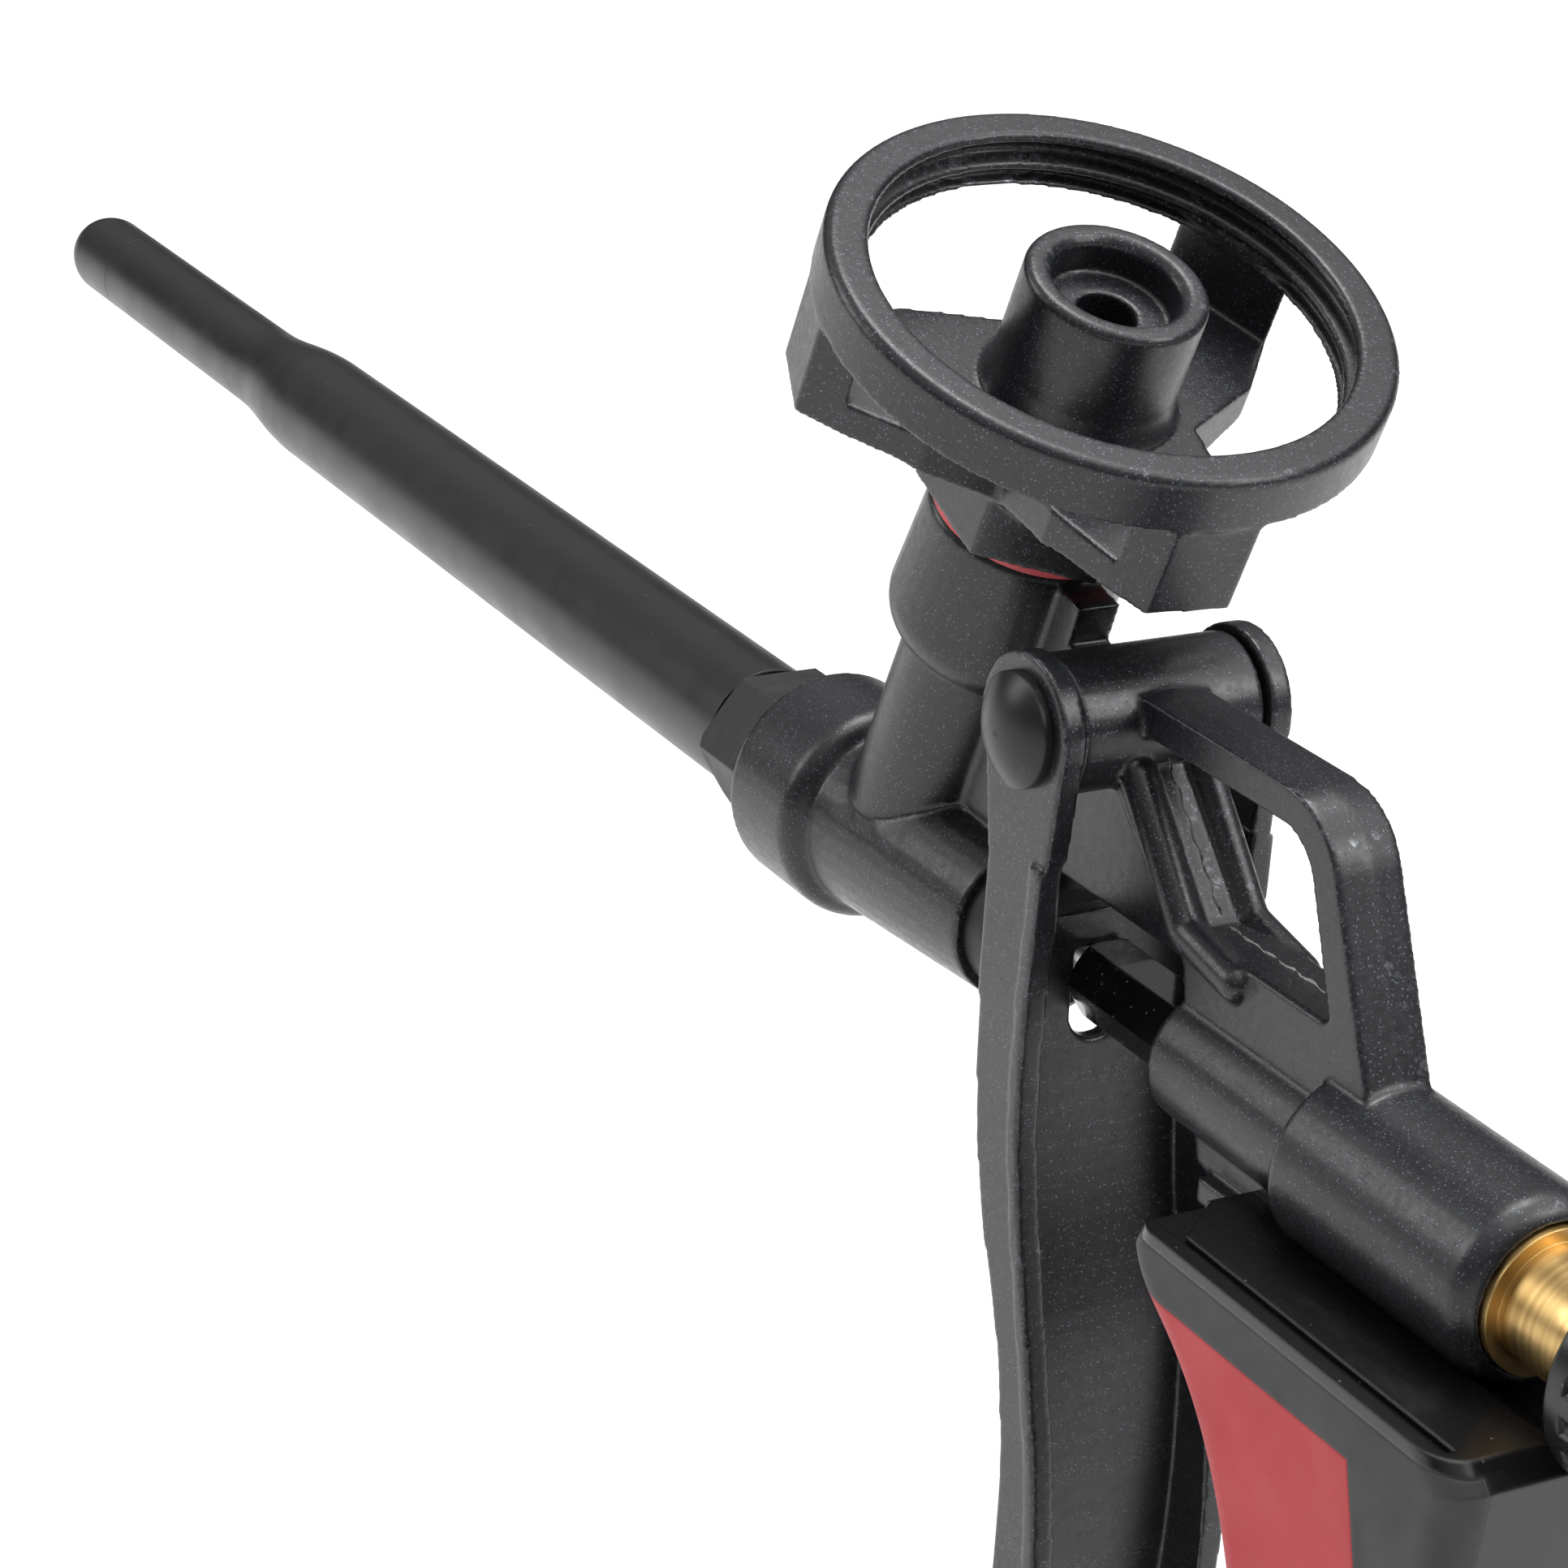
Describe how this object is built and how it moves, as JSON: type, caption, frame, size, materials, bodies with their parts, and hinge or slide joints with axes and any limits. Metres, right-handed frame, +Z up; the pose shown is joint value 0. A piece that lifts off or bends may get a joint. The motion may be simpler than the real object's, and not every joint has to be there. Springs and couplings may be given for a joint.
{
  "type": "foam applicator gun",
  "caption": "Hand-held foam applicator gun: long barrel with a needle valve, leaning threaded can adapter, forked trigger, bridge frame and two-colour grip.",
  "frame": {"origin": "the centre of the nozzle's mouth, on the barrel's axis", "axes": "+X from the nozzle along the barrel to the rear knob, +Y to the gun's right side, +Z up"},
  "size_m": [0.346, 0.0496, 0.1885],
  "materials": {
    "cast_metal": "dark graphite powder coat with fine metal flecks, satin",
    "barrel_black": "smooth satin black coating",
    "nut_dark": "matte dark grey",
    "pin_dark": "satin dark steel",
    "sleeve_black": "glossy black",
    "steel": "bright steel",
    "brass": "brass",
    "seal_rubber": "black rubber",
    "gasket_red": "red fibre washer",
    "handle_black": "black plastic, satin",
    "panel_grey": "soft matte dark grey",
    "inlay_red": "soft matte red"
  },
  "bodies": {
    "root": {"nozzle_tip": "barrel_black", "barrel_tube": "barrel_black", "barrel_nut": "nut_dark", "barrel_seal": "seal_rubber", "frame_casting": "cast_metal", "can_adapter": "cast_metal", "adapter_gasket": "gasket_red", "inlet_seat": "brass", "inlet_spring": "steel", "packing_seal": "seal_rubber", "gland_nut": "nut_dark", "return_spring": "steel", "handle_left": "handle_black", "handle_right": "handle_black", "grip_left": "panel_grey", "grip_right": "panel_grey", "inlay_left": "inlay_red", "inlay_right": "inlay_red", "handle_screws": "steel"},
    "trigger_body": {"trigger": "cast_metal", "pivot_pin": "pin_dark", "pivot_cap": "pin_dark"},
    "needle_body": {"needle": "steel", "needle_sleeve": "sleeve_black", "needle_stop": "brass"},
    "check_body": {"inlet_ball": "steel"},
    "seat_body": {"spring_seat": "steel"},
    "knob_body": {"adjusting_screw": "brass", "adjusting_knob": "handle_black"}
  },
  "joints": [
    {"name": "trigger_pull", "type": "hinge", "parent": "root", "child": "trigger_body", "pos_m": [0.2604, 0, 0.0249], "axis": [0, -1, 0], "range_deg": [0, 15], "stiffness_Nm_per_rad": 1.2},
    {"name": "needle_slide", "type": "slide", "parent": "root", "child": "needle_body", "axis": [1, 0, 0], "range_m": [0, 0.0076], "deforming": ["return_spring"]},
    {"name": "check_ball_press", "type": "slide", "parent": "root", "child": "check_body", "axis": [-0.3971, 0, -0.9178], "range_m": [0, 0.0015], "stiffness_N_per_m": 150, "deforming": ["inlet_spring"]},
    {"name": "screw_advance", "type": "slide", "parent": "root", "child": "seat_body", "axis": [1, 0, 0], "range_m": [0, 0.002]},
    {"name": "knob_turn", "type": "hinge", "parent": "seat_body", "child": "knob_body", "pos_m": [0.335, 0, 0], "axis": [1, 0, 0], "range_deg": [0, 720]}
  ],
  "couplings": [
    {"joint": "needle_slide", "follows": "trigger_pull", "m_per_rad": 0.029},
    {"joint": "knob_turn", "follows": "screw_advance", "rad_per_m": 6283.2}
  ]
}
